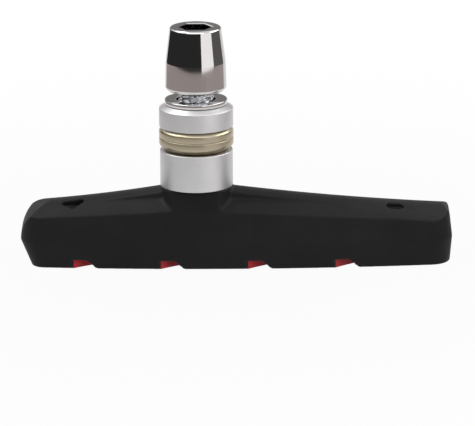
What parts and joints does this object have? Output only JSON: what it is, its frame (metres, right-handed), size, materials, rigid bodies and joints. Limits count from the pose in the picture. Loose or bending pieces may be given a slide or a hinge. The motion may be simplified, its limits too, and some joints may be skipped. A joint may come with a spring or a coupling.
{
  "type": "bicycle rim brake pad",
  "caption": "Curved rubber brake pad with lined water grooves, moulded on a threaded stud that carries cup spacers, dome washers, a flat washer and a socket barrel nut.",
  "frame": {"origin": "on the stud axis, in the plane of the friction face", "axes": "+X along the pad towards its long end, +Y towards the hollow edge of the pad (the wheel axle), +Z along the stud, away from the rim"},
  "size_m": [0.072, 0.0135, 0.0405],
  "materials": {
    "black_rubber": "matte moulded black compound",
    "red_rubber": "satin red compound",
    "plate_steel": "mill finish, hidden in the rubber",
    "stud_steel": "bright zinc plate",
    "spacer_aluminium": "satin turned",
    "dome_brass": "yellow passivated, turned",
    "nut_chrome": "polished chrome plate"
  },
  "bodies": {
    "pad": {"friction_block": "black_rubber", "groove_lining": "red_rubber", "backing_plate": "plate_steel", "stud": "stud_steel", "inner_cup_spacer": "spacer_aluminium", "flat_washer": "nut_chrome"},
    "dome_washers": {"inner_dome_washer": "dome_brass", "outer_dome_washer": "dome_brass"},
    "outer_cup": {"outer_cup_spacer": "spacer_aluminium"},
    "nut": {"nut": "nut_chrome"}
  },
  "joints": [
    {"name": "toe_in", "type": "hinge", "parent": "pad", "child": "dome_washers", "pos_m": [0, 0, 0.02654], "axis": [0, 1, 0], "range_deg": [-5, 5]},
    {"name": "outer_seat", "type": "hinge", "parent": "dome_washers", "child": "outer_cup", "pos_m": [0, 0, 0.01726], "axis": [0, 1, 0], "range_deg": [-5, 5]},
    {"name": "nut_travel", "type": "slide", "parent": "pad", "child": "nut", "axis": [0, 0, 1], "range_m": [-0.00145, 0.0035]}
  ],
  "couplings": [
    {"joint": "outer_seat", "follows": "toe_in", "ratio": -1}
  ]
}
